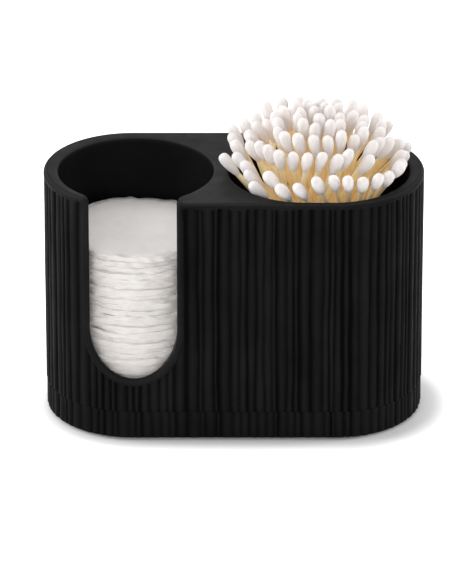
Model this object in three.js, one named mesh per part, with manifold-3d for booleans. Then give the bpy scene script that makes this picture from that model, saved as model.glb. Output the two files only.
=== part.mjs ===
// A two-well holder for cotton pads and cotton swabs, with its fill of both.
// Millimetres, +Z up. The origin is on the surface that it stands on, under its middle.
// The finger slot faces -Y, and the pad well is on the -X side.
import * as THREE from "three";
import { mergeVertices } from "three/addons/utils/BufferGeometryUtils.js";
import Module from "manifold-3d";

// Body: a stadium plan with a round well and a longer round-ended well side by side,
// both nearer the front, so that the wall is thin there and thicker behind
const bodyLength = 150;
const bodyDepth = 69.4;
const bodyHeight = 103;
const wellRadius = 30.7;
const wellForward = 1.4;
const endWall = 5.7;
const divider = 5.5;
const padFloorHeight = 17;
const swabFloorHeight = 51.5;
const floorThickness = 2;
const deckThickness = 3;
const skinWall = 2.2;
const wellWall = 2;
const rimRadius = 1.6;
const lipRadius = 0.9;

// Ribs: rounded flutes of uneven width that run up the whole side
const ribPitch = 3.4;
const ribDepth = 0.7;
const ribWidthSpreadShare = 0.55;
const ribDepthSpreadShare = 0.4;
const ribShoulderShares = [0.27, 0.73];
const ribFade = 1;

// Finger slot in the front of the pad well, a little to the left of its middle
const slotWidth = 34.4;
const slotOffset = 0.9;
const slotBottomHeight = 26.7;
const slotRoundHeight = 20;
const slotBorder = 2.6;
const slotMouthRadius = 2.2;

// Base tray with its ribbed band, which plugs into the skirt of the body
const seamHeight = 12.8;
const seamGap = 0.3;
const bandInset = 0.5;
const bandWall = 2.6;
const baseEdgeRadius = 2.6;
const basePlate = 2.4;
const spigotHeight = 1.8;
const spigotWall = 1.6;
const fitClearance = 0.3;

// Feet: four soft discs set into pockets under the base
const footDiameter = 9;
const footProud = 0.8;
const footRecess = 0.9;
const footEdge = 0.3;
const footEndInset = 25;
const footSideInset = 15.7;

// Cotton pads: pressed discs, stacked flat
const padCount = 26;
const padDiameter = 57;
const padThickness = 2.1;
const padPitch = 2.33;
const padEdge = 0.9;
const padShift = 0.7;

// Cotton swabs: a fan of sticks in oval rows round a single one. Each row's feet are turned
// against its heads, to the left and to the right by turns, so its sticks draw together at a
// waist low in the well and spread from there. The lower buds are pressed slim.
const swabLength = 75;
const stickDiameter = 2.2;
const budDiameter = 4.9;
const pressedDiameter = 3.25;
const budLength = 11;
const budShoulder = 1.1;
const budShoulderShare = 0.68;
const budWaist = 4.6;
const rowCounts = [1, 9, 18, 27, 35];
const footShare = 0.55;
const footTurnShare = 0.328;
const footSetBack = 4;
const headSideClearance = 0.6;
const headEndClearance = 0.45;
const leanSway = 3;
const sidewaysSway = 0.1;
const swabUneven = 2.4;

// Clearances, the overrun of cuts and the distance at which vertices are welded
const seatGap = 0.3;
const overrun = 5;
const weld = 1e-4;

// Facet counts
const wellSides = 56;
const cavitySides = 72;
const slotSteps = 12;
const mouthSteps = 4;
const padSides = 20;
const budSides = 6;
const footSides = 24;
const rimSteps = 2;

// Places worked out from the sizes
const halfLength = bodyLength / 2;
const halfDepth = bodyDepth / 2;
const halfStraight = halfLength - halfDepth;
const padWellX = -halfLength + endWall + wellRadius;
const swabWellHalfLength = (halfLength - endWall - (padWellX + wellRadius + divider)) / 2;
const swabWellHalfStraight = swabWellHalfLength - wellRadius;
const swabWellX = halfLength - endWall - swabWellHalfLength;
const footReachX = halfLength - footEndInset;
const footReachY = halfDepth - footSideInset;
const bunchHalfLength = swabWellHalfLength - headEndClearance;
const bunchHalfDepth = wellRadius - headSideClearance;

const wasm = await Module();
wasm.setup();

// A repeatable number from 0 to 1 for a whole number and a kind of unevenness
function chance(index, kind) {
  const spread = Math.sin((index + 1) * 12.9898 + kind * 78.233) * 43758.5453;
  return spread - Math.floor(spread);
}

function sway(index, kind) {
  return 2 * chance(index, kind) - 1;
}

// three.js geometry to a solid that can be joined and cut
function solid(geometry) {
  const bare = geometry.index ? geometry.toNonIndexed() : geometry.clone();
  bare.deleteAttribute("normal");
  bare.deleteAttribute("uv");
  const merged = mergeVertices(bare, weld);
  return new wasm.Manifold(
    new wasm.Mesh({
      numProp: 3,
      vertProperties: merged.attributes.position.array,
      triVerts: new Uint32Array(merged.index.array),
    }),
  );
}

function geometryOf(body) {
  const { vertProperties, triVerts, numProp } = body.getMesh();
  const geometry = new THREE.BufferGeometry();
  const positions = new Float32Array((vertProperties.length / numProp) * 3);
  for (let i = 0; i < positions.length / 3; i++) {
    positions.set(vertProperties.subarray(i * numProp, i * numProp + 3), i * 3);
  }
  geometry.setAttribute("position", new THREE.BufferAttribute(positions, 3));
  geometry.setIndex(new THREE.BufferAttribute(new Uint32Array(triVerts), 1));
  geometry.computeVertexNormals();
  return geometry;
}

// Stations round a stadium: each has a core point on its middle line and an outward normal
function stadiumStation(straight, radius, share) {
  const side = 2 * straight;
  const bend = Math.PI * radius;
  const run = (share - Math.floor(share)) * 2 * (side + bend);
  if (run < side) return { core: straight - run, nx: 0, ny: 1 };
  if (run < side + bend) {
    const turn = Math.PI / 2 + (run - side) / radius;
    return { core: -straight, nx: Math.cos(turn), ny: Math.sin(turn) };
  }
  if (run < 2 * side + bend) return { core: -straight + run - side - bend, nx: 0, ny: -1 };
  const turn = -Math.PI / 2 + (run - 2 * side - bend) / radius;
  return { core: straight, nx: Math.cos(turn), ny: Math.sin(turn) };
}

function evenStations(straight, radius, count) {
  return Array.from({ length: count }, (_, i) => ({
    ...stadiumStation(straight, radius, i / count),
    groove: 0,
  }));
}

// Three stations to each rib: the groove before it and its two shoulders
function ribStations() {
  const round = 4 * halfStraight + 2 * Math.PI * halfDepth;
  const count = Math.round(round / ribPitch);
  const widths = Array.from({ length: count }, (_, i) => 1 + ribWidthSpreadShare * sway(i, 1));
  const total = widths.reduce((sum, width) => sum + width, 0);
  const stations = [];
  let start = 0;
  widths.forEach((width, i) => {
    const groove = ribDepth * (1 - ribDepthSpreadShare * chance(i, 2));
    [0, ...ribShoulderShares].forEach((share, corner) => {
      const place = stadiumStation(halfStraight, halfDepth, (start + width * share) / total);
      stations.push({ ...place, groove: corner === 0 ? groove : 0 });
    });
    start += width;
  });
  return stations;
}

// A closed loft up a stack of levels, each with a height, an inset and a share of the groove depth
function loft(stations, radius, levels) {
  const count = stations.length;
  const points = [];
  for (const { z, inset, grooveShare = 1 } of levels) {
    for (const { core, nx, ny, groove } of stations) {
      const reach = radius - inset - groove * grooveShare;
      points.push(core + nx * reach, ny * reach, z);
    }
  }
  const bottomCentre = points.length / 3;
  points.push(0, 0, levels[0].z);
  points.push(0, 0, levels.at(-1).z);
  const faces = [];
  for (let level = 0; level + 1 < levels.length; level++) {
    for (let i = 0; i < count; i++) {
      const a = level * count + i;
      const b = level * count + ((i + 1) % count);
      faces.push(a, b, b + count, a, b + count, a + count);
    }
  }
  const top = (levels.length - 1) * count;
  for (let i = 0; i < count; i++) {
    const next = (i + 1) % count;
    faces.push(bottomCentre, next, i);
    faces.push(bottomCentre + 1, top + i, top + next);
  }
  const geometry = new THREE.BufferGeometry();
  geometry.setAttribute("position", new THREE.BufferAttribute(new Float32Array(points), 3));
  geometry.setIndex(faces);
  return solid(geometry);
}

// The rounded outer edge as levels from the side up to the flat top
function roundedEdge(radius, top) {
  return Array.from({ length: rimSteps }, (_, i) => {
    const turn = ((i + 1) / rimSteps) * (Math.PI / 2);
    return {
      z: top - radius + radius * Math.sin(turn),
      inset: radius * (1 - Math.cos(turn)),
      grooveShare: 0,
    };
  });
}

// A well cutter: straight sides from its floor, opening in a rounded lip at the rim
function wellCutter(straight, floor) {
  const stations = evenStations(straight, wellRadius, wellSides);
  const lip = lipRadius * (1 - Math.SQRT1_2);
  return loft(stations, wellRadius, [
    { z: floor, inset: 0 },
    { z: bodyHeight - lipRadius, inset: 0 },
    { z: bodyHeight - lip, inset: -lip },
    { z: bodyHeight, inset: -lipRadius },
    { z: bodyHeight + overrun, inset: -lipRadius },
  ]);
}

function wellTube(straight, floor) {
  const stations = evenStations(straight, wellRadius, wellSides);
  return loft(stations, wellRadius, [
    { z: floor - floorThickness, inset: -wellWall },
    { z: bodyHeight - deckThickness, inset: -wellWall },
  ]);
}

// The deep rounded foot of the finger slot, from its left side round to its right one
function addSlotFoot(shape, border) {
  const half = slotWidth / 2 + border;
  const round = slotRoundHeight + border;
  const middle = slotBottomHeight + slotRoundHeight;
  for (let i = 0; i <= slotSteps; i++) {
    const turn = Math.PI * (1 + i / slotSteps);
    shape.lineTo(half * Math.cos(turn), middle + round * Math.sin(turn));
  }
}

// The slot seen from the front, open at the top with an eased mouth
function slotOpening() {
  const half = slotWidth / 2;
  const mouth = half + slotMouthRadius;
  const shape = new THREE.Shape();
  shape.moveTo(-mouth, bodyHeight + overrun);
  shape.lineTo(-mouth, bodyHeight);
  shape.quadraticCurveTo(-half, bodyHeight, -half, bodyHeight - slotMouthRadius);
  addSlotFoot(shape, 0);
  shape.lineTo(half, bodyHeight - slotMouthRadius);
  shape.quadraticCurveTo(half, bodyHeight, mouth, bodyHeight);
  shape.lineTo(mouth, bodyHeight + overrun);
  return shape;
}

// The smooth border that lines the slot and joins the outer wall to the well
function slotLining() {
  const half = slotWidth / 2 + slotBorder;
  const top = bodyHeight - rimRadius;
  const shape = new THREE.Shape();
  shape.moveTo(-half, top);
  addSlotFoot(shape, slotBorder);
  shape.lineTo(half, top);
  return shape;
}

function slotSolid(shape, front) {
  const geometry = new THREE.ExtrudeGeometry(shape, {
    depth: -front,
    bevelEnabled: false,
    curveSegments: mouthSteps,
  });
  geometry.rotateX(Math.PI / 2);
  geometry.translate(padWellX - slotOffset, 0, 0);
  return solid(geometry);
}

function makeHousing() {
  const ribs = ribStations();
  const shoulder = bodyHeight - rimRadius;
  const outside = loft(ribs, halfDepth, [
    { z: seamHeight, inset: 0 },
    { z: shoulder - ribFade, inset: 0 },
    { z: shoulder, inset: 0, grooveShare: 0 },
    ...roundedEdge(rimRadius, bodyHeight),
  ]);
  const cavityRadius = halfDepth - ribDepth - skinWall;
  const cavity = loft(evenStations(halfStraight, halfDepth, cavitySides), cavityRadius, [
    { z: seamHeight - overrun, inset: 0 },
    { z: bodyHeight - deckThickness, inset: 0 },
  ]);
  const tubes = [
    wellTube(0, padFloorHeight).translate([padWellX, -wellForward, 0]),
    wellTube(swabWellHalfStraight, swabFloorHeight).translate([swabWellX, -wellForward, 0]),
  ];
  const cutters = [
    wellCutter(0, padFloorHeight).translate([padWellX, -wellForward, 0]),
    wellCutter(swabWellHalfStraight, swabFloorHeight).translate([swabWellX, -wellForward, 0]),
  ];
  const plain = loft(evenStations(halfStraight, halfDepth, cavitySides), halfDepth, [
    { z: seamHeight, inset: 0 },
    { z: shoulder, inset: 0 },
  ]);
  let body = outside.subtract(cavity);
  for (const tube of tubes) body = body.add(tube.intersect(outside));
  body = body.add(slotSolid(slotLining(), -halfDepth).intersect(plain));
  for (const cutter of cutters) body = body.subtract(cutter);
  return body.subtract(slotSolid(slotOpening(), -halfDepth - overrun));
}

function makeBase() {
  const ribs = ribStations();
  const bandRadius = halfDepth - bandInset;
  const bandTop = seamHeight - seamGap;
  const edge = roundedEdge(baseEdgeRadius, 0).reverse();
  const outside = loft(ribs, bandRadius, [
    ...edge.map(({ z, inset }) => ({ z: footProud - z, inset, grooveShare: 0.5 })),
    { z: footProud + baseEdgeRadius, inset: 0 },
    { z: bandTop, inset: 0 },
  ]);
  const even = evenStations(halfStraight, halfDepth, cavitySides);
  const tray = loft(even, bandRadius - ribDepth - bandWall, [
    { z: footProud + basePlate, inset: 0 },
    { z: seamHeight + overrun, inset: 0 },
  ]);
  const spigotRadius = halfDepth - ribDepth - skinWall - fitClearance;
  const spigot = loft(even, spigotRadius, [
    { z: footProud + basePlate, inset: 0 },
    { z: seamHeight + spigotHeight, inset: 0 },
  ]).subtract(
    loft(even, spigotRadius - spigotWall, [
      { z: footProud, inset: 0 },
      { z: seamHeight + overrun, inset: 0 },
    ]),
  );
  let base = outside.subtract(tray).add(spigot);
  for (const [x, y] of footPlaces()) {
    const pocket = new THREE.CylinderGeometry(
      footDiameter / 2 + fitClearance,
      footDiameter / 2 + fitClearance,
      footRecess + seatGap + overrun,
      footSides,
    );
    pocket.rotateX(Math.PI / 2);
    pocket.translate(x, y, footProud + footRecess + seatGap - (footRecess + seatGap + overrun) / 2);
    base = base.subtract(solid(pocket));
  }
  return base;
}

function footPlaces() {
  return [-1, 1].flatMap((sx) => [-1, 1].map((sy) => [sx * footReachX, sy * footReachY]));
}

function makeFoot() {
  const radius = footDiameter / 2;
  const top = footProud + footRecess;
  const profile = [
    new THREE.Vector2(0, 0),
    new THREE.Vector2(radius - footEdge, 0),
    new THREE.Vector2(radius, footEdge),
    new THREE.Vector2(radius, top),
    new THREE.Vector2(0, top),
  ];
  return new THREE.LatheGeometry(profile, footSides).rotateX(Math.PI / 2);
}

function makePad() {
  const radius = padDiameter / 2;
  const profile = [
    new THREE.Vector2(0, 0),
    new THREE.Vector2(radius - padEdge, 0),
    new THREE.Vector2(radius, padThickness / 2),
    new THREE.Vector2(radius - padEdge, padThickness),
    new THREE.Vector2(0, padThickness),
  ];
  return new THREE.LatheGeometry(profile, padSides).rotateX(Math.PI / 2);
}

// One swab standing on its lower bud, a six-sided turning with a vertex along +X
function makeSwab() {
  const end = (diameter) => [
    [0, 0],
    [(diameter / 2) * budShoulderShare, budShoulder],
    [diameter / 2, budWaist],
    [stickDiameter / 2, budLength],
  ];
  const lower = end(pressedDiameter).map(([r, z]) => new THREE.Vector2(r, z));
  const upper = end(budDiameter).map(([r, z]) => new THREE.Vector2(r, swabLength - z)).reverse();
  const turning = new THREE.LatheGeometry([...lower, ...upper], budSides);
  turning.rotateY(Math.PI / 2);
  return turning.rotateX(Math.PI / 2);
}

// Where each swab of a row stands and which way it leans, pulled up a little way along its lean
function swabPlaces(row) {
  const share = row / (rowCounts.length - 1);
  const sense = row % 2 === 0 ? 1 : -1;
  return Array.from({ length: rowCounts[row] }, (_, i) => {
    const index = row * 100 + i;
    const turn = (2 * Math.PI * (i + (row % 2) / 2)) / rowCounts[row];
    const footTurn = turn + sense * 2 * Math.PI * footTurnShare;
    const foot = new THREE.Vector3(
      footShare * share * bunchHalfLength * Math.cos(footTurn),
      footShare * share * bunchHalfDepth * Math.sin(footTurn) + footSetBack,
      swabFloorHeight + seatGap,
    );
    const across = new THREE.Vector2(
      share * bunchHalfLength * Math.cos(turn) - foot.x,
      share * bunchHalfDepth * Math.sin(turn) - foot.y,
    );
    const ahead = across.clone().normalize();
    const aside = new THREE.Vector2(-ahead.y, ahead.x);
    across.addScaledVector(ahead, leanSway * share * sway(index, 4));
    across.addScaledVector(aside, sidewaysSway * sway(index, 3));
    const rise = Math.sqrt(swabLength ** 2 - across.lengthSq());
    const axis = new THREE.Vector3(across.x, across.y, rise).normalize();
    return { foot: foot.addScaledVector(axis, swabUneven * chance(index, 7)), axis };
  });
}

// The swabs of one row, joined where the corners of their lower buds meet
function makeSwabRow(row) {
  const blank = makeSwab();
  const up = new THREE.Vector3(0, 0, 1);
  let bunch = null;
  for (const { foot, axis } of swabPlaces(row)) {
    const lean = new THREE.Quaternion().setFromUnitVectors(up, axis);
    const turn = new THREE.Quaternion().setFromAxisAngle(up, Math.atan2(axis.y, axis.x));
    const placed = blank.clone();
    placed.applyQuaternion(lean.multiply(turn));
    placed.translate(foot.x, foot.y, foot.z);
    const swab = solid(placed);
    bunch = bunch ? bunch.add(swab) : swab;
  }
  return geometryOf(bunch);
}

// Materials
const blackPlastic = new THREE.MeshStandardMaterial({
  name: "soft-touch black plastic",
  color: 0x1b1b1c,
  roughness: 0.55,
  metalness: 0,
});
const footRubber = new THREE.MeshStandardMaterial({
  name: "grey rubber",
  color: 0x3a3a3c,
  roughness: 0.85,
  metalness: 0,
});
const padCotton = new THREE.MeshStandardMaterial({
  name: "pressed cotton",
  color: 0xf1edea,
  roughness: 0.95,
  metalness: 0,
});
const swabCotton = new THREE.MeshStandardMaterial({
  name: "cotton and bamboo",
  color: 0xe9dfcc,
  roughness: 0.9,
  metalness: 0,
});

function piece(name, geometry, material) {
  const mesh = new THREE.Mesh(geometry, material);
  mesh.name = name;
  return mesh;
}

// The holder
const holder = new THREE.Group();
holder.add(piece("housing", geometryOf(makeHousing()), blackPlastic));
holder.add(piece("base", geometryOf(makeBase()), blackPlastic));
const footNames = ["foot_left_front", "foot_left_rear", "foot_right_front", "foot_right_rear"];
footPlaces().forEach(([x, y], i) => {
  const foot = piece(footNames[i], makeFoot(), footRubber);
  foot.position.set(x, y, 0);
  holder.add(foot);
});

// The pads, counted from the bottom of the stack
const pads = new THREE.Group();
pads.position.set(padWellX, -wellForward, padFloorHeight + seatGap);
for (let i = 0; i < padCount; i++) {
  const pad = piece(`cotton_pad_${String(i + 1).padStart(2, "0")}`, makePad(), padCotton);
  pad.position.set(padShift * sway(i, 6), padShift * sway(i, 7), i * padPitch);
  pad.rotation.z = 2 * Math.PI * chance(i, 8);
  pads.add(pad);
}

// The swabs, row by row from the single one in the middle outwards
const swabs = new THREE.Group();
swabs.position.set(swabWellX, -wellForward, 0);
rowCounts.forEach((_, row) => {
  const name = row === 0 ? "swabs_core" : `swabs_row_${row}`;
  swabs.add(piece(name, makeSwabRow(row), swabCotton));
});

const object = new THREE.Group();
object.add(holder, pads, swabs);

export default object;
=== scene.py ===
"""Looks of a ribbed two-well holder with its cotton pads and swabs, in metres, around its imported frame."""

import math

import bmesh
import bpy
import numpy as np
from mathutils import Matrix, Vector


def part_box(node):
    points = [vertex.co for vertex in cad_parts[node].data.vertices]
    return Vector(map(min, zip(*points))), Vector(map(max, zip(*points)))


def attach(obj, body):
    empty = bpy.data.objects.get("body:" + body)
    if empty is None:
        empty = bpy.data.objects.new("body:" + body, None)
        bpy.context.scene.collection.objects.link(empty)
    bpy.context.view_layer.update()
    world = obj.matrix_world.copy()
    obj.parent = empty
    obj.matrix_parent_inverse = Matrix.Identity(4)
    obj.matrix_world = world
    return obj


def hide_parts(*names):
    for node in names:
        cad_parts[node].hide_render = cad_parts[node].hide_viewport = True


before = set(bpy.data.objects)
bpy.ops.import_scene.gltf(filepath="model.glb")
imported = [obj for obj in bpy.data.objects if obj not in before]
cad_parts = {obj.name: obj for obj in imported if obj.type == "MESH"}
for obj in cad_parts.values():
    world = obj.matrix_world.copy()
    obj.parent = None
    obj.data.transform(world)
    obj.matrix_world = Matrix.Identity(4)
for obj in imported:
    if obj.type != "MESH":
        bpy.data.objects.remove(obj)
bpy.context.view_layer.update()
mm = 0.001

# Camera
# A long lens in front of the finger slot, looking down on the holder from 25.6 degrees,
# far enough away that its upright sides stay upright.
image_width, image_height = 467, 561
camera_elevation = math.radians(25.6)
camera_distance = 2.53
pixels_per_metre = 2516
aim_height = 0.048
aim_pixel_x, aim_pixel_y = 233.9, 293.5
view_reach = 20

look = Vector((0, math.cos(camera_elevation), -math.sin(camera_elevation)))
camera_up = Vector((0, math.sin(camera_elevation), math.cos(camera_elevation)))
aim_right = (image_width / 2 - aim_pixel_x) / pixels_per_metre
aim_up = (aim_pixel_y - image_height / 2) / pixels_per_metre
aim = Vector((aim_right, 0, aim_height)) + camera_up * aim_up
camera_data = bpy.data.cameras.new("camera")
camera_data.sensor_fit = "HORIZONTAL"
camera_data.sensor_width = 36
camera_data.lens = camera_data.sensor_width * camera_distance * pixels_per_metre / image_width
camera_data.clip_end = view_reach
camera = bpy.data.objects.new("camera", camera_data)
camera.location = aim - look * camera_distance
camera.rotation_euler = look.to_track_quat("-Z", "Y").to_euler()
bpy.context.scene.collection.objects.link(camera)
bpy.context.scene.camera = camera

# Table and light
# A white table that runs out of sight, soft boxes at both sides, one overhead, a wide card
# behind and a fill in front. The lens sees the table lifted to white away from the holder.
# Close round the holder the lift is held back, so the floor keeps its real shadow plus a band
# of painted shade, shifted to the right, that makes the shadow read longer there.
table_size = 12
table_albedo = 0.92
table_lift = 0.62
lift_reach = 0.013
# the band of painted shade round the holder is shifted this far to the right
painted_shade_shift = 0.0035
plan_straight, plan_radius = 0.0403, 0.0342
room_level = 0.33
lamps = [
    ("overhead", (-0.1, 0.3, 1.3), (1.2, 0.9), 6.8),
    ("left_box", (-1.15, 0.1, 0.5), (0.7, 0.9), 9.6),
    ("right_box", (1.2, 0.1, 0.5), (0.6, 0.8), 7.5),
    ("front_fill", (-0.3, -1.7, 0.8), (1.5, 1.0), 14.5),
    ("rear_card", (0.0, 1.7, 0.75), (2.2, 0.7), 8),
]
lamp_target = Vector((0, 0, 0.05))


def add_piece(name, points, faces, smooth=True):
    mesh = bpy.data.meshes.new(name)
    mesh.from_pydata([tuple(p) for p in points], [], [tuple(f) for f in faces])
    mesh.validate()
    mesh.polygons.foreach_set("use_smooth", [smooth] * len(mesh.polygons))
    mesh.update()
    piece = bpy.data.objects.new(name, mesh)
    bpy.context.scene.collection.objects.link(piece)
    return piece


half = table_size / 2
table_corners = [(-half, -half, 0), (half, -half, 0), (half, half, 0), (-half, half, 0)]
table = add_piece("table", table_corners, [(0, 1, 2, 3)])
table_material = bpy.data.materials.new("white_table")
table_material.use_nodes = True
nodes, links = table_material.node_tree.nodes, table_material.node_tree.links
nodes.clear()
output = nodes.new("ShaderNodeOutputMaterial")
matt = nodes.new("ShaderNodeBsdfDiffuse")
matt.inputs["Color"].default_value = (table_albedo, table_albedo, table_albedo, 1)
lift = nodes.new("ShaderNodeEmission")
seen = nodes.new("ShaderNodeLightPath")
place = nodes.new("ShaderNodeTexCoord")
steps = []
for operation, amount in (
    ("SUBTRACT", (painted_shade_shift, 0, 0)), ("ABSOLUTE", (0, 0, 0)), ("SUBTRACT", (plan_straight, 0, 0)),
    ("MAXIMUM", (0, 0, 0)), ("LENGTH", (0, 0, 0)),
):
    step = nodes.new("ShaderNodeVectorMath")
    step.operation = operation
    step.inputs[1].default_value = amount
    links.new(steps[-1].outputs[0] if steps else place.outputs["Object"], step.inputs[0])
    steps.append(step)
# painted shade: no lift within lift_reach of the holder's plan, so a grey band stays round it
open_table = nodes.new("ShaderNodeMapRange")
open_table.interpolation_type = "SMOOTHSTEP"
open_table.inputs["From Min"].default_value = plan_radius
open_table.inputs["From Max"].default_value = plan_radius + lift_reach
open_table.inputs["To Min"].default_value = 0
open_table.inputs["To Max"].default_value = table_lift
lifted = nodes.new("ShaderNodeMath")
lifted.operation = "MULTIPLY"
both = nodes.new("ShaderNodeAddShader")
links.new(steps[-1].outputs["Value"], open_table.inputs["Value"])
links.new(open_table.outputs[0], lifted.inputs[1])
links.new(seen.outputs["Is Camera Ray"], lifted.inputs[0])
links.new(lifted.outputs[0], lift.inputs["Strength"])
links.new(matt.outputs[0], both.inputs[0])
links.new(lift.outputs[0], both.inputs[1])
links.new(both.outputs[0], output.inputs["Surface"])
table.data.materials.append(table_material)

world = bpy.data.worlds.new("studio")
bpy.context.scene.world = world
world.use_nodes = True
nodes, links = world.node_tree.nodes, world.node_tree.links
nodes.clear()
output = nodes.new("ShaderNodeOutputWorld")
room = nodes.new("ShaderNodeBackground")
room.inputs["Strength"].default_value = room_level
white = nodes.new("ShaderNodeBackground")
white.inputs["Strength"].default_value = 1
seen = nodes.new("ShaderNodeLightPath")
choose = nodes.new("ShaderNodeMixShader")
links.new(seen.outputs["Is Camera Ray"], choose.inputs[0])
links.new(room.outputs[0], choose.inputs[1])
links.new(white.outputs[0], choose.inputs[2])
links.new(choose.outputs[0], output.inputs["Surface"])

for name, place, size, power in lamps:
    lamp_data = bpy.data.lights.new(name, "AREA")
    lamp_data.shape = "RECTANGLE"
    lamp_data.size, lamp_data.size_y = size
    lamp_data.energy = power
    lamp = bpy.data.objects.new(name, lamp_data)
    lamp.location = place
    lamp.rotation_euler = (lamp_target - lamp.location).to_track_quat("-Z", "Y").to_euler()
    bpy.context.scene.collection.objects.link(lamp)

bpy.context.scene.view_settings.view_transform = "Standard"

# Housing, the ribbed tower with both wells
# One black soft-touch moulding on a stadium plan. Uneven flutes run up its whole skin and
# die out under a rounded rim, and two smooth wells are sunk from the flat top.
housing_low, housing_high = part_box("housing")
half_length = (housing_high.x - housing_low.x) / 2
half_depth = (housing_high.y - housing_low.y) / 2
seam_height = housing_low.z
rim_height = housing_high.z
half_straight = half_length - half_depth
well_radius = 30.7 * mm
well_forward = 1.4 * mm
end_wall = 5.7 * mm
divider = 5.5 * mm
pad_floor = 17 * mm
swab_floor = 51.5 * mm
floor_round = 2 * mm
rim_radius = 1.6 * mm
lip_radius = 0.9 * mm
seam_ease = 0.12 * mm
pad_well_x = -half_length + end_wall + well_radius
swab_straight = (half_length - end_wall - (pad_well_x + well_radius + divider)) / 2 - well_radius
swab_well_x = half_length - end_wall - well_radius - swab_straight
rib_pitch = 3.4 * mm
rib_depth = 0.85 * mm
rib_width_spread = 0.55
rib_depth_spread = 0.45
rib_wander = 0.33 * mm
rib_roundness = 1.5
rib_fade = 1.1 * mm
rib_rise = 0.3 * mm
rib_top_spread = 0.8 * mm
rib_face_dip = 0.05 * mm
rib_swell_share = 0.18
wander_length = 24 * mm
swell_length = 17 * mm
rib_columns = 9
row_step = 1.5 * mm
fade_height = 3 * mm
fade_rows = 14
rim_steps = 10
lip_steps = 6
floor_steps = 5
well_count = 240
# painted shade: a dark line round the rim's roll between these two turns, at this share of the flutes'
# deepest painted shade
rim_line_start, rim_line_end = math.radians(75), math.radians(85)
rim_line_share = 0.7
# painted highlights on the rim's roll and on the flat top towards the front; rib_face_rub greys a few rib
# faces at random
rim_roll_highlight, front_land_highlight, rib_face_rub = 0.85, 0.62, 0.14
least_land_highlight = 0.001
# painted highlight: a lighter ring across each well's rounded lip, row by row
lip_highlight_shares = [0.3, 0.7, 1, 1, 0.6, 0.1]
# painted shade down the wells' walls and floors
well_shade = 0.3


def chance(index, kind):
    spread = math.sin((index + 1) * 12.9898 + kind * 78.233) * 43758.5453
    return spread - math.floor(spread)


def sway(index, kind):
    return 2 * chance(index, kind) - 1


def waver(t, index, kind):
    """A smooth wandering value, in about -1 to 1 along t, different for each index and kind."""
    total = 0.0
    for octave in range(3):
        phase = 2 * math.pi * chance(index * 5 + octave, kind)
        rate = (1.3 + 1.9 * octave) * (0.8 + 0.4 * chance(index * 5 + octave, kind + 1))
        total += math.sin(t * rate + phase) / (1 + octave)
    return total / 1.83


def stadium(straight, radius, run):
    """Core place and outward normal at each run along the outline of a stadium."""
    side, bend = 2 * straight, math.pi * radius
    run = np.mod(run, 2 * (side + bend))
    core = np.empty_like(run)
    turn = np.empty_like(run)
    rear = run < side
    left = (run >= side) & (run < side + bend)
    front = (run >= side + bend) & (run < 2 * side + bend)
    right = run >= 2 * side + bend
    core[rear], turn[rear] = straight - run[rear], math.pi / 2
    core[left], turn[left] = -straight, math.pi / 2 + (run[left] - side) / radius
    core[front], turn[front] = -straight + run[front] - side - bend, -math.pi / 2
    core[right], turn[right] = straight, -math.pi / 2 + (run[right] - 2 * side - bend) / radius
    return core, np.cos(turn), np.sin(turn)


outline_length = 4 * half_straight + 2 * math.pi * half_depth
rib_count = round(outline_length / rib_pitch)
rib_widths = np.array([1 + rib_width_spread * sway(i, 1) for i in range(rib_count)])
rib_starts = np.concatenate([[0], np.cumsum(rib_widths)[:-1]]) / rib_widths.sum() * outline_length
rib_depths = np.array([rib_depth * (1 - rib_depth_spread * chance(i, 2)) for i in range(rib_count)])
rib_drops = np.array([rib_top_spread * chance(i, 9) for i in range(rib_count)])
rib_tops = rim_height - rim_radius + rib_rise - rib_drops


def rib_ring(z):
    """Runs along the outline, and groove depths, of one ring of the ribbed skin at height z."""
    starts = rib_starts + np.array([rib_wander * waver(z / wander_length, i, 11) for i in range(rib_count)])
    ends = np.roll(starts, -1)
    ends[-1] += outline_length
    across = (np.arange(rib_columns) / rib_columns)[None, :]
    runs = starts[:, None] + (ends - starts)[:, None] * across
    edge = np.abs(2 * across - 1) ** rib_roundness
    before = rib_depths[:, None]
    after = np.roll(rib_depths, -1)[:, None]
    swell = np.array([waver(z / swell_length, i, 21) for i in range(rib_count)])[:, None]
    depth = np.where(across < 0.5, before, after) * edge * (1 + rib_swell_share * swell)
    depth = depth + rib_face_dip * (1 + swell) * (1 - edge)
    left = np.clip((rib_tops[:, None] - z) / rib_fade, 0, 1)
    return runs.ravel(), (depth * left * left * (3 - 2 * left)).ravel()


def ring_points(straight, radius, run, inset, z):
    core, nx, ny = stadium(straight, radius, run)
    reach = radius - inset
    return np.column_stack([core + nx * reach, ny * reach, np.full(len(core), z)])


def tube_faces(start, levels, count):
    """Quads that join each ring of points to the next one."""
    faces = []
    for level in range(levels - 1):
        a = start + level * count
        for i in range(count):
            j = (i + 1) % count
            faces.append((a + i, a + j, a + j + count, a + i + count))
    return faces


def fill_flat(points, loops):
    """Triangles over the flat area between one outer loop and the loops inside it."""
    work = bmesh.new()
    keys = {}
    edges = []
    for loop in loops:
        made = [work.verts.new(points[i]) for i in loop]
        keys.update(zip(made, loop))
        edges += [work.edges.new(pair) for pair in zip(made, made[1:] + made[:1])]
    bmesh.ops.triangle_fill(work, use_beauty=True, use_dissolve=False, edges=edges, normal=(0, 0, 1))
    triangles = [[keys[v] for v in face.verts] for face in work.faces]
    work.free()
    return triangles


def keep_mask(piece, name, values):
    """Keep one value for each of a piece's points, for its material to read."""
    mask = piece.data.attributes.new(name, "FLOAT", "POINT")
    mask.data.foreach_set("value", np.clip(np.asarray(values, dtype=float), 0, 1))


def even_outward(piece):
    """Turn all faces of a closed piece outward."""
    work = bmesh.new()
    work.from_mesh(piece.data)
    bmesh.ops.recalc_face_normals(work, faces=work.faces)
    work.to_mesh(piece.data)
    work.free()


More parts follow.
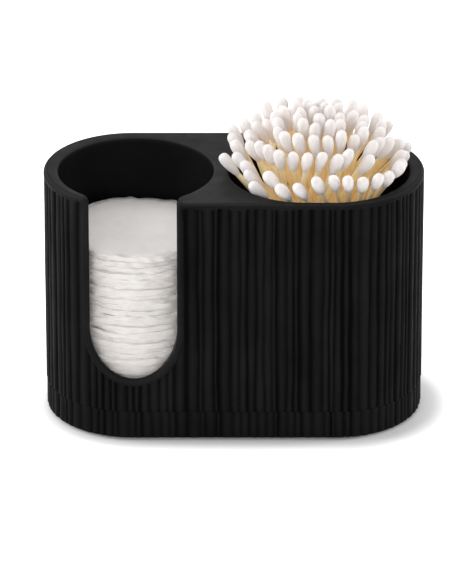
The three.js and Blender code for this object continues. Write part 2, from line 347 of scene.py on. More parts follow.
def well_rings(centre_x, straight, floor):
    """Rings of one well, from its rounded lip down to the edge of its floor."""
    run = np.arange(well_count) / well_count * (4 * straight + 2 * math.pi * well_radius)
    levels = []
    for turn in np.linspace(0, math.pi / 2, lip_steps):
        levels.append((rim_height - lip_radius * (1 - math.cos(turn)), -lip_radius * (1 - math.sin(turn))))
    top, bottom = rim_height - lip_radius, floor + floor_round
    for z in np.linspace(top, bottom, round((top - bottom) / row_step))[1:]:
        levels.append((z, 0))
    for turn in np.linspace(0, math.pi / 2, floor_steps)[1:]:
        levels.append((floor + floor_round * (1 - math.sin(turn)), floor_round * (1 - math.cos(turn))))
    centre = (centre_x, -well_forward, 0)
    return [ring_points(straight, well_radius, run, inset, z) + centre for z, inset in levels]


def ribbed_tower():
    """Points, faces, painted shade mask and painted highlight and rub mask of the closed tower, before the
    slot is cut.
    """
    shoulder = rim_height - rim_radius
    heights = np.arange(seam_height + seam_ease, shoulder - fade_height, row_step)
    heights = np.concatenate([heights, np.linspace(heights[-1], shoulder, fade_rows)[1:]])
    run, groove = rib_ring(seam_height)
    rings = [ring_points(half_straight, half_depth, run, groove + seam_ease, seam_height)]
    grooves, highlight_rows = [groove], [0]
    # painted highlight on the flat top, stronger towards the front
    land_highlight = front_land_highlight * np.clip(-rings[0][:, 1] / half_depth, 0, 1) ** 2 + least_land_highlight
    for z in heights:
        run, groove = rib_ring(z)
        rings.append(ring_points(half_straight, half_depth, run, groove, z))
        grooves.append(groove)
        highlight_rows.append(0)
    for turn in np.linspace(0, math.pi / 2, rim_steps)[1:]:
        z = rim_height - rim_radius * (1 - math.sin(turn))
        run, groove = rib_ring(z)
        inset = rim_radius * (1 - math.cos(turn)) + groove * math.cos(turn)
        rings.append(ring_points(half_straight, half_depth, run, inset, z))
        # painted shade: the rows in this turn range get the rim's dark line
        in_line = rim_line_start < turn < rim_line_end
        grooves.append(np.full(len(run), rim_line_share * rib_depth) if in_line else groove)
        # painted highlight on the roll below the line, the painted dark line, then the flat top's painted
        # highlight
        if turn < rim_line_start:
            highlight_rows.append(rim_roll_highlight * math.sin(turn) ** 2)
        elif in_line:
            highlight_rows.append(0)
        else:
            highlight_rows.append(land_highlight)
    count = len(run)
    points = np.vstack(rings + [[(0, 0, seam_height)]])
    groove_mask = np.append(np.concatenate(grooves) / rib_depth, 0)
    # a few rib faces a little greyer at random, only where no painted highlight lies
    face_rub = np.repeat([rib_face_rub * chance(i, 33) ** 2 for i in range(rib_count)], rib_columns)
    highlight_and_rub_mask = np.append(np.concatenate([np.maximum(rub, face_rub * (rub == 0)) for rub in highlight_rows]), 0)
    faces = tube_faces(0, len(rings), count)
    faces += [((i + 1) % count, i, len(points) - 1) for i in range(count)]
    loops = [[(len(rings) - 1) * count + i for i in range(count)]]
    for centre_x, straight, floor in ((pad_well_x, 0, pad_floor), (swab_well_x, swab_straight, swab_floor)):
        start = len(points)
        well = well_rings(centre_x, straight, floor)
        points = np.vstack([points] + well + [[(centre_x, -well_forward, floor)]])
        # each well's lip gets a ring of painted highlight, its walls and floor painted shade
        lip = np.zeros(len(well) * well_count + 1)
        lip[: lip_steps * well_count] = np.repeat(lip_highlight_shares, well_count)
        highlight_and_rub_mask = np.append(highlight_and_rub_mask, lip)
        groove_mask = np.append(groove_mask, well_shade * (np.arange(len(lip)) >= lip_steps * well_count))
        faces += tube_faces(start, len(well), well_count)
        last = start + (len(well) - 1) * well_count
        faces += [(last + i, last + (i + 1) % well_count, len(points) - 1) for i in range(well_count)]
        loops.append([start + i for i in range(well_count)])
    return points, faces + fill_flat(points, loops), groove_mask, highlight_and_rub_mask


# Finger slot
# The same moulding's opening for a thumb: a deep U cut through the front wall, with the
# rim's rounding carried down both sides and round its foot as a smooth rib-free border.
slot_half = 17.2 * mm
slot_offset = 0.9 * mm
slot_x = pad_well_x - slot_offset
slot_bottom = 26.7 * mm
slot_round = 20 * mm
slot_border = 2.6 * mm
mouth_radius = 2.2 * mm
mouth_reach = 1.2 * mm
mouth_dip = 0.05 * mm
cut_line = 1.3 * mm
border_steps = 5
border_tuck = 0.15 * mm
tuck_outside, tuck_inside = 0.9 * mm, 0.5 * mm
border_flat = 0.4 * mm
border_ease, border_ease_height = 0.7 * mm, 6 * mm
slot_foot_steps, slot_side_steps, mouth_steps = 60, 60, 14
front_zone = -20 * mm
batch = 4000
# painted highlight across the border's rolled section, from outside to inside
border_highlight_shares = [
    0, 0, 0.02, 0.08, 0.16, 0.22, 0.26, 0.22, 0.14, 0.1, 0.14, 0.22, 0.26, 0.2, 0.1, 0.05, 0, 0, 0,
]


def slot_path():
    """The slot's edge, and its normal into the wall, from the left rim to the right rim."""
    middle = slot_bottom + slot_round
    shoulder = rim_height - mouth_radius
    right = []
    for turn in np.linspace(0, math.pi / 2, slot_foot_steps):
        right.append((slot_half * math.sin(turn), middle - slot_round * math.cos(turn)))
    right += [(slot_half, z) for z in np.linspace(middle, shoulder, slot_side_steps)[1:]]
    for turn in np.linspace(0, math.pi / 2, mouth_steps)[1:]:
        outward = slot_half + mouth_radius * (1 - math.cos(turn))
        right.append((outward, shoulder + mouth_radius * math.sin(turn)))
    for step in (0.25, 0.5, 1):
        right.append((slot_half + mouth_radius + step * mouth_reach, rim_height - mouth_dip * step * step))
    left = [(-x, z) for x, z in reversed(right[1:])]
    path = np.array(left + right)
    along = np.gradient(path, axis=0)
    along /= np.linalg.norm(along, axis=1)[:, None]
    return path, np.column_stack([along[:, 1], -along[:, 0]])


def wall_outside(x):
    """The outer wall's y at each x, and how squarely it faces the front there."""
    into_bend = np.maximum(0, -half_straight - x)
    reach = np.sqrt(half_depth**2 - into_bend**2)
    return -reach, reach / half_depth


def wall_inside(x):
    """The pad well's front wall at each x, and how squarely it faces the front there."""
    reach = np.sqrt(well_radius**2 - (x - pad_well_x) ** 2)
    return -well_forward - reach, reach / well_radius


edge_path, edge_normal = slot_path()


def slot_border_strip():
    """The rounded border as one closed band swept along the slot's edge."""
    buried = slot_border + border_tuck
    section = [("out", buried, tuck_outside), ("out", slot_border, 0), ("out", rim_radius + border_flat, 0)]
    for turn in np.linspace(0, math.pi / 2, border_steps + 2):
        section.append(("out", rim_radius * (1 - math.sin(turn)), rim_radius * (1 - math.cos(turn))))
    for turn in np.linspace(math.pi / 2, 0, border_steps + 1):
        section.append(("in", lip_radius * (1 - math.sin(turn)), lip_radius * (1 - math.cos(turn))))
    section += [("in", slot_border, 0), ("in", buried, tuck_inside)]
    shoulder = rim_height - mouth_radius
    easing = np.clip((edge_path[:, 1] - shoulder + border_ease_height) / border_ease_height, 0, 1)
    room = buried - easing * border_ease
    rings = []
    for side, across, deep in section:
        away = np.minimum(across, room)
        x = slot_x + edge_path[:, 0] + edge_normal[:, 0] * away
        z = edge_path[:, 1] + edge_normal[:, 1] * away
        if side == "out":
            face, square = wall_outside(x)
            y = face + deep / square
        else:
            face, square = wall_inside(x)
            y = face - deep / square
        rings.append(np.column_stack([x, y, z]))
    points = np.stack(rings, axis=1).reshape(-1, 3)
    count = len(section)
    faces = tube_faces(0, len(edge_path), count)
    last = (len(edge_path) - 1) * count
    faces += [tuple(reversed(range(count))), tuple(last + i for i in range(count))]
    return points, faces


def beyond_slot_edge(points):
    """How far each point lies from the slot's edge into the wall, negative in the opening."""
    flat = np.column_stack([points[:, 0] - slot_x, points[:, 2]])
    distance = np.empty(len(flat))
    for start in range(0, len(flat), batch):
        part = flat[start : start + batch]
        nearest = ((part[:, None, :] - edge_path[None, :, :]) ** 2).sum(axis=2).argmin(axis=1)
        distance[start : start + batch] = ((part - edge_path[nearest]) * edge_normal[nearest]).sum(axis=1)
    return distance


def cut_slot(points, faces):
    """Drop the tower's faces that lie in the slot or under the inner half of its border."""
    centres = np.array([np.mean([points[i] for i in face], axis=0) for face in faces])
    near = (
        (centres[:, 1] < front_zone)
        & (np.abs(centres[:, 0] - slot_x) < slot_half + mouth_radius)
        & (centres[:, 2] > slot_bottom - slot_border)
    )
    drop = np.zeros(len(faces), bool)
    drop[near] = beyond_slot_edge(centres[near]) < cut_line
    return [face for face, gone in zip(faces, drop) if not gone]


def join_parts(parts):
    """Points and faces of several parts as one."""
    all_points, all_faces, start = [], [], 0
    for points, faces in parts:
        all_points.append(np.asarray(points))
        all_faces += [tuple(start + i for i in face) for face in faces]
        start += len(points)
    return np.vstack(all_points), all_faces


def outward_faces(points, faces):
    """The same faces, all turned outward."""
    closed = add_piece("closed", points, faces)
    even_outward(closed)
    turned_faces = [tuple(p.vertices) for p in closed.data.polygons]
    bpy.data.objects.remove(closed)
    return turned_faces


tower_points, tower_faces, tower_grooves, tower_highlights_and_rubs = ribbed_tower()
tower_part = (tower_points, cut_slot(tower_points, outward_faces(tower_points, tower_faces)))
border_points, border_faces = slot_border_strip()
border_size = len(border_points) // len(edge_path)
border_part = (border_points, outward_faces(border_points, border_faces))
housing = add_piece("housing_shell", *join_parts([tower_part, border_part]))
round_border = np.linspace(0, 1, border_size)
# painted highlight on the border's roll, the same all along the slot
border_highlight = np.interp(round_border, np.linspace(0, 1, len(border_highlight_shares)), border_highlight_shares)
border_highlights = np.tile(border_highlight, len(edge_path))
keep_mask(housing, "groove", np.append(tower_grooves, np.zeros(len(border_points))))
keep_mask(housing, "rub", np.append(tower_highlights_and_rubs, border_highlights))
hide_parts("housing")
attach(housing, "holder")

# Black soft-touch plastic
# A matt polypropylene skin that swallows light: nearly black, with painted shade making it
# blackest down in the flutes and the wells and drawing a dark line round the rim, painted
# highlights on the rim's roll, the front of the top, the wells' lips and the slot's border, a
# few rib faces a little greyer at random, and a fine grain and faint drag marks.
groove_dulling = 0.2


def new_group(name, inputs, outputs):
    group = bpy.data.node_groups.new(name, "ShaderNodeTree")
    for title, kind, value in inputs:
        socket = group.interface.new_socket(title, in_out="INPUT", socket_type=kind)
        if value is not None:
            socket.default_value = value
    for title, kind in outputs:
        group.interface.new_socket(title, in_out="OUTPUT", socket_type=kind)
    return group, group.nodes.new("NodeGroupInput"), group.nodes.new("NodeGroupOutput")


def add_noise(tree, vector, scale, detail=3.0, roughness=0.55, stretch=(1, 1, 1)):
    """A noise value in 0 to 1, about 0.5 in the middle, at so many waves to a metre."""
    mapping = tree.nodes.new("ShaderNodeMapping")
    mapping.inputs["Scale"].default_value = stretch
    noise = tree.nodes.new("ShaderNodeTexNoise")
    noise.inputs["Scale"].default_value = scale
    noise.inputs["Detail"].default_value = detail
    noise.inputs["Roughness"].default_value = roughness
    tree.links.new(vector, mapping.inputs["Vector"])
    tree.links.new(mapping.outputs[0], noise.inputs["Vector"])
    return noise.outputs["Fac"]


def add_range(tree, value, low, high, from_low=0.3, from_high=0.7):
    node = tree.nodes.new("ShaderNodeMapRange")
    node.inputs["From Min"].default_value = from_low
    node.inputs["From Max"].default_value = from_high
    node.inputs["To Min"].default_value = low
    node.inputs["To Max"].default_value = high
    tree.links.new(value, node.inputs["Value"])
    return node.outputs["Result"]


def add_mask(tree, name):
    """The value that the piece's own points keep under this name."""
    node = tree.nodes.new("ShaderNodeAttribute")
    node.attribute_name = name
    return node.outputs["Fac"]


def add_mix(tree, share, first, second):
    node = tree.nodes.new("ShaderNodeMix")
    node.data_type = "RGBA"
    tree.links.new(share, node.inputs["Factor"])
    for socket, colour in ((node.inputs[6], first), (node.inputs[7], second)):
        if isinstance(colour, tuple):
            socket.default_value = (*colour, 1)
        else:
            tree.links.new(colour, socket)
    return node.outputs[2]


def add_bump(tree, height, distance, strength=1.0, normal=None):
    node = tree.nodes.new("ShaderNodeBump")
    node.inputs["Strength"].default_value = strength
    node.inputs["Distance"].default_value = distance
    tree.links.new(height, node.inputs["Height"])
    if normal is not None:
        tree.links.new(normal, node.inputs["Normal"])
    return node.outputs["Normal"]


def new_material(name, group, values, constants):
    """A material whose one group drives the shader's sockets of the same names."""
    material = bpy.data.materials.new(name)
    material.use_nodes = True
    tree = material.node_tree
    shader = tree.nodes["Principled BSDF"]
    place = tree.nodes.new("ShaderNodeTexCoord")
    look = tree.nodes.new("ShaderNodeGroup")
    look.node_tree = group
    tree.links.new(place.outputs["Object"], look.inputs["Vector"])
    for title, value in values.items():
        look.inputs[title].default_value = value
    for title in ("Base Color", "Roughness", "Normal"):
        tree.links.new(look.outputs[title], shader.inputs[title])
    for title, value in constants.items():
        shader.inputs[title].default_value = value
    return material


surface_outputs = [
    ("Base Color", "NodeSocketColor"), ("Roughness", "NodeSocketFloat"), ("Normal", "NodeSocketVector"),
]
plastic_look, given, made = new_group(
    "soft_touch_black",
    [
        ("Vector", "NodeSocketVector", None),
        ("Dark", "NodeSocketColor", (0.0052, 0.0052, 0.0054, 1)),
        ("Light", "NodeSocketColor", (0.0112, 0.0112, 0.0114, 1)),
        ("Painted shade", "NodeSocketColor", (0.0008, 0.0008, 0.0008, 1)),
        ("Highlight and rubbed", "NodeSocketColor", (0.03, 0.03, 0.031, 1)),
    ],
    surface_outputs,
)
cloud = add_noise(plastic_look, given.outputs["Vector"], 45, 4)
streak = add_noise(plastic_look, given.outputs["Vector"], 700, 3, 0.6, (1, 1, 0.035))
grain = add_noise(plastic_look, given.outputs["Vector"], 3200, 2, 0.5)
rub = add_noise(plastic_look, given.outputs["Vector"], 160, 5, 0.6)
clouded = add_range(plastic_look, cloud, 0, 1)
tone = add_mix(plastic_look, clouded, given.outputs["Dark"], given.outputs["Light"])
# painted shade: darker down in the flutes, the wells and along the rim's line; the same mask also dulls the
# gloss there
low_lying = add_range(plastic_look, add_mask(plastic_look, "groove"), 0, 1, 0.03, 0.6)
tone = add_mix(plastic_look, low_lying, tone, given.outputs["Painted shade"])
# painted highlights on the rolled edges and lips, and rib faces greyer at random
highlight_and_rub = add_range(plastic_look, add_mask(plastic_look, "rub"), 0, 0.9, 0.03, 1)
tone = add_mix(plastic_look, highlight_and_rub, tone, given.outputs["Highlight and rubbed"])
plastic_look.links.new(tone, made.inputs["Base Color"])
dulled = plastic_look.nodes.new("ShaderNodeMath")
dulled.operation = "MULTIPLY_ADD"
dulled.inputs[1].default_value = groove_dulling
plastic_look.links.new(low_lying, dulled.inputs[0])
plastic_look.links.new(add_range(plastic_look, rub, 0.42, 0.56), dulled.inputs[2])
plastic_look.links.new(dulled.outputs[0], made.inputs["Roughness"])
dragged = add_bump(plastic_look, streak, 0.05 * mm, 0.6)
plastic_look.links.new(add_bump(plastic_look, grain, 0.02 * mm, 0.5, dragged), made.inputs["Normal"])
plastic = new_material("soft_touch_plastic", plastic_look, {}, {"Specular IOR Level": 0.05})
housing.data.materials.append(plastic)

# Base tray
# A second black moulding plugged into the tower's skirt: its band carries the flutes on
# below a thin dark seam, its lower edge is rounded, and four pockets take the feet.
base_low, base_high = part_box("base")
band_inset = 0.25 * mm
base_bottom = base_low.z
band_top = seam_height - 0.16 * mm
base_round = 1.3 * mm
spigot_height = base_high.z
spigot_inset = 2.8 * mm
foot_radius = 4.5 * mm
foot_gap = 0.3 * mm
pocket_top = base_bottom + 1.2 * mm
pocket_count = 60
edge_steps = 10
band_rows = 8
edge_groove_loss = 0.6
# painted shade in the band's flutes, at this share of the tower's
band_groove_share = 0.65
foot_names = ["foot_left_front", "foot_left_rear", "foot_right_front", "foot_right_rear"]
foot_places = [sum(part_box(name), Vector()) / 2 for name in foot_names]


def base_tray():
    band_radius = half_depth - band_inset
    rings, grooves = [], []
    for turn in np.linspace(math.pi / 2, 0, edge_steps):
        z = base_bottom + base_round * (1 - math.sin(turn))
        run, groove = rib_ring(z)
        inset = base_round * (1 - math.cos(turn)) + groove * (1 - edge_groove_loss * math.sin(turn))
        rings.append(ring_points(half_straight, band_radius, run, inset, z))
        grooves.append(groove)
    for z in np.linspace(base_bottom + base_round, band_top - seam_ease, band_rows)[1:]:
        run, groove = rib_ring(z)
        rings.append(ring_points(half_straight, band_radius, run, groove, z))
        grooves.append(groove)
    run, groove = rib_ring(band_top)
    rings.append(ring_points(half_straight, band_radius, run, groove + seam_ease, band_top))
    grooves.append(groove)
    plug = np.full_like(groove, spigot_inset)
    rings.append(ring_points(half_straight, band_radius, run, plug, band_top))
    rings.append(ring_points(half_straight, band_radius, run, plug, spigot_height))
    count = len(run)
    points = np.vstack(rings + [[(0, 0, spigot_height)]])
    faces = tube_faces(0, len(rings), count)
    last = (len(rings) - 1) * count
    faces += [(last + i, last + (i + 1) % count, len(points) - 1) for i in range(count)]
    loops = [list(range(count))]
    turns = np.arange(pocket_count) / pocket_count * 2 * math.pi
    circle = np.column_stack([np.cos(turns), np.sin(turns), np.zeros(pocket_count)])
    circle *= foot_radius + foot_gap
    for place in foot_places:
        start = len(points)
        low = circle + (place.x, place.y, base_bottom)
        high = circle + (place.x, place.y, pocket_top)
        points = np.vstack([points, low, high, [(place.x, place.y, pocket_top)]])
        faces += tube_faces(start, 2, pocket_count)
        top = start + pocket_count
        faces += [(top + i, top + (i + 1) % pocket_count, len(points) - 1) for i in range(pocket_count)]
        loops.append([start + i for i in range(pocket_count)])
    return points, faces + fill_flat(points, loops), np.concatenate(grooves) / rib_depth


tray_points, tray_faces, tray_grooves = base_tray()
base = add_piece("base_tray", tray_points, tray_faces)
plain_points = np.zeros(len(tray_points) - len(tray_grooves))
# the band's flutes get painted shade too
keep_mask(base, "groove", band_groove_share * np.append(tray_grooves, plain_points))
even_outward(base)
base.data.materials.append(plastic)
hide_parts("base")
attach(base, "holder")

# Feet
# Four soft rubber discs pressed into the base's pockets, each with an eased edge, a faint
# moulded ring and a slightly hollow face that grips the table.
foot_top = 1.7 * mm
foot_ease = 0.45 * mm
foot_ring = 0.12 * mm
ring_inside, ring_outside, ring_flank = 2.6 * mm, 2.9 * mm, 0.2 * mm
hollow_radius, hollow_edge, hollow_middle = 1.6 * mm, 0.07 * mm, 0.1 * mm
foot_bevel = 0.15 * mm
foot_steps = 6
foot_sides = 60

rubber_look, given, made = new_group(
    "soft_rubber",
    [
        ("Vector", "NodeSocketVector", None),
        ("Dark", "NodeSocketColor", (0.03, 0.03, 0.032, 1)),
        ("Light", "NodeSocketColor", (0.05, 0.05, 0.052, 1)),
    ],
    surface_outputs,
)
dust = add_noise(rubber_look, given.outputs["Vector"], 600, 4)
pores = add_noise(rubber_look, given.outputs["Vector"], 4000, 2)
dusted = add_range(rubber_look, dust, 0, 1)
tone = add_mix(rubber_look, dusted, given.outputs["Dark"], given.outputs["Light"])
rubber_look.links.new(tone, made.inputs["Base Color"])
rubber_look.links.new(add_range(rubber_look, dust, 0.72, 0.88), made.inputs["Roughness"])
rubber_look.links.new(add_bump(rubber_look, pores, 0.02 * mm, 0.6), made.inputs["Normal"])
rubber = new_material("foot_rubber", rubber_look, {}, {"Specular IOR Level": 0.3})


def capped_faces(levels, sides):
    """Faces of stacked rings closed by two end points that follow them."""
    faces = tube_faces(0, levels, sides)
    first, last, top = levels * sides, levels * sides + 1, (levels - 1) * sides
    faces += [((i + 1) % sides, i, first) for i in range(sides)]
    return faces + [(top + i, top + (i + 1) % sides, last) for i in range(sides)]


foot_profile = [(hollow_radius, hollow_edge), (ring_inside - ring_flank, 0), (ring_inside, foot_ring)]
foot_profile += [(ring_outside, foot_ring), (ring_outside + ring_flank, 0)]
for turn in np.linspace(0, math.pi / 2, foot_steps):
    foot_profile.append((foot_radius - foot_ease * (1 - math.sin(turn)), foot_ease * (1 - math.cos(turn))))
foot_profile += [(foot_radius, foot_top - foot_bevel), (foot_radius - foot_bevel, foot_top)]
turns = np.arange(foot_sides) / foot_sides * 2 * math.pi
foot_rings = []
for radius, z in foot_profile:
    ring = [radius * np.cos(turns), radius * np.sin(turns), np.full(foot_sides, z)]
    foot_rings.append(np.column_stack(ring))
foot_points = np.vstack(foot_rings + [[(0, 0, hollow_middle), (0, 0, foot_top)]])
foot_faces = capped_faces(len(foot_rings), foot_sides)
for name, place in zip(foot_names, foot_places):
    foot = add_piece("rubber_" + name, foot_points + (place.x, place.y, 0), foot_faces)
    even_outward(foot)
    foot.data.materials.append(rubber)
    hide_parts(name)
    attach(foot, "holder")

# Cotton pads
# Twenty-six round pads punched from pressed cotton wadding, lying on each other. Each has a
# soft, slightly ragged edge and sags a little with the ones below it.
pad_count = 26
pad_radius = 28.5 * mm
pad_pitch = 2.33 * mm
pad_thickness = 2.1 * mm
pad_shift = 0.7 * mm
pad_seat = 0.3 * mm
pad_start = pad_floor + pad_seat
pad_gap = 0.012 * mm
pad_sides = 200
edge_rows = 11
edge_inset = 0.25 * mm
edge_roll = 0.5 * mm
edge_fringe = 0.18 * mm
ragged = 0.36 * mm
top_ragged = 0.3 * mm
sag = 0.5 * mm
fine_sag = 0.2 * mm
pad_puff = 0.25 * mm
flat_shares = [0.12, 0.3, 0.5, 0.68, 0.82, 0.9]

cotton_look, given, made = new_group(
    "pressed_cotton",
    [
        ("Vector", "NodeSocketVector", None),
        ("Shade", "NodeSocketColor", (0.91, 0.855, 0.825, 1)),
        ("Light", "NodeSocketColor", (0.965, 0.935, 0.91, 1)),
        # painted shade colour for the creases and sides of the pads
        ("Painted crevice shade", "NodeSocketColor", (0.36, 0.24, 0.17, 1)),
    ],
    surface_outputs,
)
patches = add_noise(cotton_look, given.outputs["Vector"], 130, 5, 0.6)
fibres = add_noise(cotton_look, given.outputs["Vector"], 1500, 6, 0.7)
tufts = add_noise(cotton_look, given.outputs["Vector"], 420, 5, 0.65)
layers = add_noise(cotton_look, given.outputs["Vector"], 330, 4, 0.6, (1, 1, 5))
streaks = add_noise(cotton_look, given.outputs["Vector"], 150, 5, 0.7, (1, 1, 5.5))
patched = add_range(cotton_look, patches, 0.35, 1)
tone = add_mix(cotton_look, patched, given.outputs["Shade"], given.outputs["Light"])
thin = add_mix(cotton_look, add_range(cotton_look, fibres, 0, 1, 0.25, 0.5), given.outputs["Shade"], tone)
# fine horizontal streaks break up the painted shade
broken = cotton_look.nodes.new("ShaderNodeMath")
broken.operation = "MULTIPLY"
cotton_look.links.new(add_range(cotton_look, streaks, 1, 0, 0.42, 0.58), broken.inputs[0])
cotton_look.links.new(add_mask(cotton_look, "painted_crevice_shade"), broken.inputs[1])
streaked = add_mix(cotton_look, broken.outputs[0], thin, given.outputs["Painted crevice shade"])
cotton_look.links.new(streaked, made.inputs["Base Color"])
cotton_look.links.new(add_range(cotton_look, fibres, 0.88, 1), made.inputs["Roughness"])
soft = add_bump(cotton_look, tufts, 0.35 * mm, 0.5)
layered = add_bump(cotton_look, layers, 0.3 * mm, 0.45, soft)
cotton_look.links.new(add_bump(cotton_look, fibres, 0.12 * mm, 0.6, layered), made.inputs["Normal"])
cotton_depth = {"Specular IOR Level": 0.1, "Subsurface Scale": 2 * mm, "Subsurface Radius": (1, 0.9, 0.85)}
pad_cotton = new_material(
    "pad_cotton", cotton_look, {}, cotton_depth | {"Sheen Weight": 0.15, "Subsurface Weight": 0.2}
)


def ripple(turns, index, kind, first, last):
    """A smooth closed wave round a pad, in about -1 to 1."""
    total = np.zeros_like(turns)
    weight = 0
    for k in range(first, last + 1):
        size = 1 / math.sqrt(k)
        total += size * np.sin(k * turns + 2 * math.pi * chance(index * 31 + k, kind))
        weight += size * size / 2
    return total / math.sqrt(weight) / 1.6


def pad_sheet(index, turns, share):
    """The height between pad number index - 1 and pad number index, at a share of the radius."""
    if index == 0:
        return np.full_like(turns, pad_start)
    level = pad_start + index * pad_pitch - (pad_pitch - pad_thickness) / 2
    wave = sag * (0.6 * ripple(turns, index, 41, 2, 7) + 0.4 * ripple(turns, 0, 42, 1, 3))
    fine = fine_sag * ripple(turns, index, 43, 9, 34)
    return level + wave * share**2 + fine * share**6


def pad_points(index):
    """Points, number of rings and painted shade mask of one pad, its edge rolled more where it is loose."""
    turns = np.arange(pad_sides) / pad_sides * 2 * math.pi
    radius = pad_radius - edge_inset + ragged * ripple(turns, index, 44, 3, 24)
    puff = 0
    if index == pad_count - 1:
        radius += top_ragged * ripple(turns, index, 47, 12, 44)
        puff = pad_puff
    rows = []
    for share in flat_shares:
        rows.append((share * (radius - edge_roll), pad_sheet(index, turns, share) + pad_gap))
    looseness = np.clip(0.4 + 0.9 * ripple(turns, index, 46, 2, 18), 0.06, 1.3)
    side_share = np.clip(np.abs(np.cos(turns)) / 0.65, 0, 1)
    parted = 0.45 + 1.5 * chance(index, 48) ** 2
    roll = edge_roll * looseness * (0.45 + 0.55 * side_share) * min(parted, 1.2)
    shades = [np.zeros(pad_sides)] * len(flat_shares)
    low = pad_sheet(index, turns, 1) + pad_gap
    high = pad_sheet(index + 1, turns, 1) - pad_gap
    for t in np.linspace(-0.98, 0.98, edge_rows):
        bulge = (1 - abs(t) ** 3.6) ** 0.5
        fringe = edge_fringe * ripple(turns + t, index, 45, 12, 40)
        rows.append((radius - roll * (1 - bulge) + fringe * bulge, (low + high) / 2 + (high - low) / 2 * t))
        # painted shade: darker in the creases between pads where the edge rolls in, and on each pad's left
        # and right sides
        painted_crevice_shade = (1 - bulge) * np.minimum(looseness, 1) * (0.3 + 0.7 * side_share**2) * parted
        shades.append(np.maximum(painted_crevice_shade, 0.08 + 0.22 * side_share**5))
    for share in reversed(flat_shares):
        level = pad_sheet(index + 1, turns, share) - pad_gap + puff * (1 - share**4)
        rows.append((share * (radius - edge_roll), level))
    rings = [np.column_stack([r * np.cos(turns), r * np.sin(turns), z]) for r, z in rows]
    ends = [(0, 0, rows[0][1].mean()), (0, 0, rows[-1][1].mean())]
    place = (pad_well_x + pad_shift * sway(index, 6), pad_shift * sway(index, 7) - well_forward, 0)
    shades += [np.zeros(pad_sides)] * len(flat_shares) + [np.zeros(2)]
    return np.vstack(rings + [ends]) + place, len(rings), np.concatenate(shades)


for index in range(pad_count):
    points, levels, shades = pad_points(index)
    pad = add_piece(f"pad_{index + 1:02d}", points, capped_faces(levels, pad_sides))
    keep_mask(pad, "painted_crevice_shade", shades)
    even_outward(pad)
    pad.data.materials.append(pad_cotton)
    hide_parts(f"cotton_pad_{index + 1:02d}")
    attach(pad, "top_pad" if index == pad_count - 1 else "pad_stack")

# Cotton swabs
# Ninety swabs stand in oval rows round a single one. They draw together at a waist low in
# the well and fan out above it. Each is a bare wooden stick with cotton wound on both
# ends: full and egg-shaped above, pressed slim below where the ends crowd the floor.
row_counts = [1, 9, 18, 27, 35]
swab_length = 75 * mm
stick_radius = 1.1 * mm
bud_radius = 2.45 * mm
pressed_radius = 1.625 * mm
bud_length = 10.4 * mm
foot_share = 0.55
foot_turn_share = 0.328
foot_set_back = 4 * mm
head_side_clearance = 0.6 * mm
head_end_clearance = 0.45 * mm
lean_sway = 3 * mm
sideways_sway = 0.1 * mm
swab_uneven = 2.4 * mm
swab_stray = 2.6 * mm
swab_seat = 0.3 * mm
wind_pitch = 2.4 * mm
stick_tuck = 6 * mm
stick_waver_start = 9 * mm
stick_waver_length = 12 * mm
stick_waver_share = 0.03
bud_grip_share = 1.01
bud_tip_points = 3
bunch_half_length = swab_straight + well_radius - head_end_clearance
bunch_half_depth = well_radius - head_side_clearance
bud_profile = [
    (0.01, 0.26), (0.035, 0.49), (0.08, 0.7), (0.145, 0.86), (0.23, 0.96), (0.34, 1.0), (0.46, 0.995),
    (0.58, 0.95), (0.7, 0.87), (0.81, 0.76), (0.9, 0.64), (0.965, 0.54), (1.0, 0.46),
]
bud_sides = 20
stick_sides = 12
stick_stations = 9


def swab_places(row):
    """Index, foot and axis of each swab of a row at rest, some of the outer ones drawn out a little."""
    places = []
    share = row / (len(row_counts) - 1)
    sense = 1 if row % 2 == 0 else -1
    for i in range(row_counts[row]):
        index = row * 100 + i
        turn = 2 * math.pi * (i + (row % 2) / 2) / row_counts[row]
        foot_turn = turn + sense * 2 * math.pi * foot_turn_share
        foot_x = foot_share * share * bunch_half_length * math.cos(foot_turn)
        foot_y = foot_share * share * bunch_half_depth * math.sin(foot_turn) + foot_set_back
        head_x = share * bunch_half_length * math.cos(turn)
        head_y = share * bunch_half_depth * math.sin(turn)
        across = Vector((head_x, head_y)) - Vector((foot_x, foot_y))
        ahead = across.normalized()
        across += ahead * lean_sway * share * sway(index, 4)
        across += Vector((-ahead.y, ahead.x)) * sideways_sway * sway(index, 3)
        axis = Vector((across.x, across.y, math.sqrt(swab_length**2 - across.length_squared))).normalized()
        foot = Vector((swab_well_x + foot_x, foot_y - well_forward, swab_floor + swab_seat))
        drawn_out = swab_uneven * chance(index, 7)
        drawn_out += swab_stray * max(0, 2 * share - 1) * chance(index, 100) ** 2
        places.append((index, foot + axis * drawn_out, axis))
    return places


def turned_along(start, axis, stations, sides, dents=None):
    """A closed turning along an axis from (distance, radius) stations."""
    side = axis.cross(Vector((0, 1, 0))).normalized()
    other = axis.cross(side)
    turns = np.arange(sides) / sides * 2 * math.pi
    around = np.outer(np.cos(turns), side) + np.outer(np.sin(turns), other)
    rings = []
    for distance, radius in stations:
        reach = radius * (1 + (dents(turns, distance) if dents else np.zeros(sides)))
        rings.append(np.array(start + axis * distance) + around * reach[:, None])
    ends = [start + axis * stations[0][0], start + axis * stations[-1][0]]
    return np.vstack(rings + [np.array(ends)]), capped_faces(len(rings), sides)


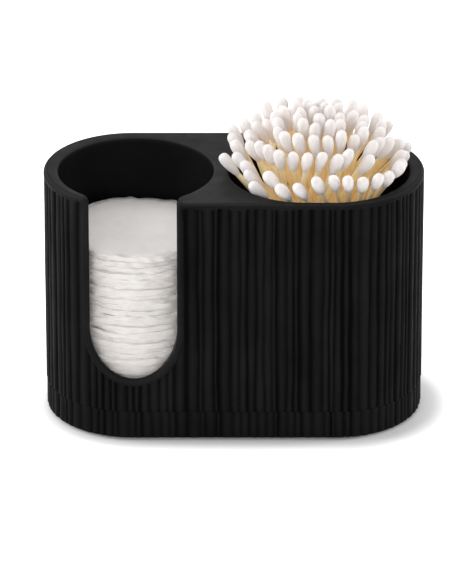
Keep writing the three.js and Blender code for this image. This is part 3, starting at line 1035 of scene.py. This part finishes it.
def swab_bud(index, start, axis, radius, kind):
    """Cotton wound from the end of a stick along the axis, with its own belly, twist and dents."""
    length = bud_length * (1 + 0.05 * sway(index, kind))
    fat = radius * (0.95 + 0.05 * sway(index, kind + 1))
    belly = 0.16 * sway(index, kind + 2)
    twist = 2 * math.pi * chance(index, kind + 3)
    stations = []
    for point, (share, width) in enumerate(bud_profile):
        least = 0 if point < bud_tip_points else stick_radius * bud_grip_share
        stations.append((share ** (1 + belly) * length, max(fat * width, least)))

    def dents(turns, distance):
        wind = distance / wind_pitch + twist
        low = 0.026 * np.sin(2 * turns + twist + wind) + 0.016 * np.sin(3 * turns - twist)
        return low + 0.011 * np.sin(7 * turns + 2.3 * wind)

    return turned_along(start, axis, stations, bud_sides, dents)


def swab_stick(index, foot, axis):
    """A bare stick between its two buds, a little uneven in thickness."""
    stations = [(stick_tuck, stick_radius)]
    for distance in np.linspace(stick_waver_start, swab_length - stick_waver_start, stick_stations):
        uneven = stick_waver_share * waver(distance / stick_waver_length, index, 81)
        stations.append((distance, stick_radius * (1 + uneven)))
    stations.append((swab_length - stick_tuck, stick_radius))
    return turned_along(foot, axis, stations, stick_sides)


bud_cotton = new_material(
    "wound_cotton",
    cotton_look,
    {"Shade": (0.82, 0.765, 0.745, 1), "Light": (0.9, 0.865, 0.85, 1)},
    cotton_depth | {"Sheen Weight": 0.1, "Subsurface Weight": 0.4},
)
wood_look, given, made = new_group(
    "bare_wood",
    [
        ("Vector", "NodeSocketVector", None),
        ("Dark", "NodeSocketColor", (0.85, 0.61, 0.29, 1)),
        ("Light", "NodeSocketColor", (0.99, 0.9, 0.68, 1)),
    ],
    surface_outputs,
)
grain = add_noise(wood_look, given.outputs["Vector"], 2600, 4, 0.6, (1, 1, 0.05))
fine = add_noise(wood_look, given.outputs["Vector"], 900, 5, 0.65, (1, 1, 0.12))
own = add_mix(wood_look, add_mask(wood_look, "own_tone"), given.outputs["Dark"], given.outputs["Light"])
grained = add_mix(wood_look, add_range(wood_look, grain, 0, 1), given.outputs["Dark"], own)
tone = add_mix(wood_look, add_range(wood_look, fine, 0.45, 0.95), grained, own)
wood_look.links.new(tone, made.inputs["Base Color"])
wood_look.links.new(add_range(wood_look, grain, 0.45, 0.65), made.inputs["Roughness"])
wood_look.links.new(add_bump(wood_look, grain, 0.03 * mm, 0.5), made.inputs["Normal"])
wood = new_material(
    "swab_wood",
    wood_look,
    {},
    {
        "Specular IOR Level": 0.3,
        "Subsurface Weight": 0.8,
        "Subsurface Scale": 3 * mm,
        "Subsurface Radius": (1, 0.75, 0.5),
        # painted light: the sticks glow faintly golden, standing in for light that soaks through the thin
        # wood
        "Emission Color": (1, 0.72, 0.4, 1),
        "Emission Strength": 0.08,
    },
)

for row in range(len(row_counts)):
    node = "swabs_core" if row == 0 else f"swabs_row_{row}"
    bud_parts, stick_parts, tones = [], [], []
    for index, foot, axis in swab_places(row):
        bud_parts.append(swab_bud(index, foot, axis, pressed_radius, 71))
        bud_parts.append(swab_bud(index, foot + axis * swab_length, -axis, bud_radius, 61))
        stick_parts.append(swab_stick(index, foot, axis))
        tones += [0.1 + 0.9 * chance(index, 91)] * len(stick_parts[-1][0])
    buds = add_piece(f"{node}_buds", *join_parts(bud_parts))
    sticks = add_piece(f"{node}_sticks", *join_parts(stick_parts))
    keep_mask(sticks, "own_tone", tones)
    for piece, material, slot_name in ((buds, bud_cotton, "cotton"), (sticks, wood, "bamboo")):
        even_outward(piece)
        piece.data.materials.append(material)
        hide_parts(node)
        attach(piece, "swab_bunch")
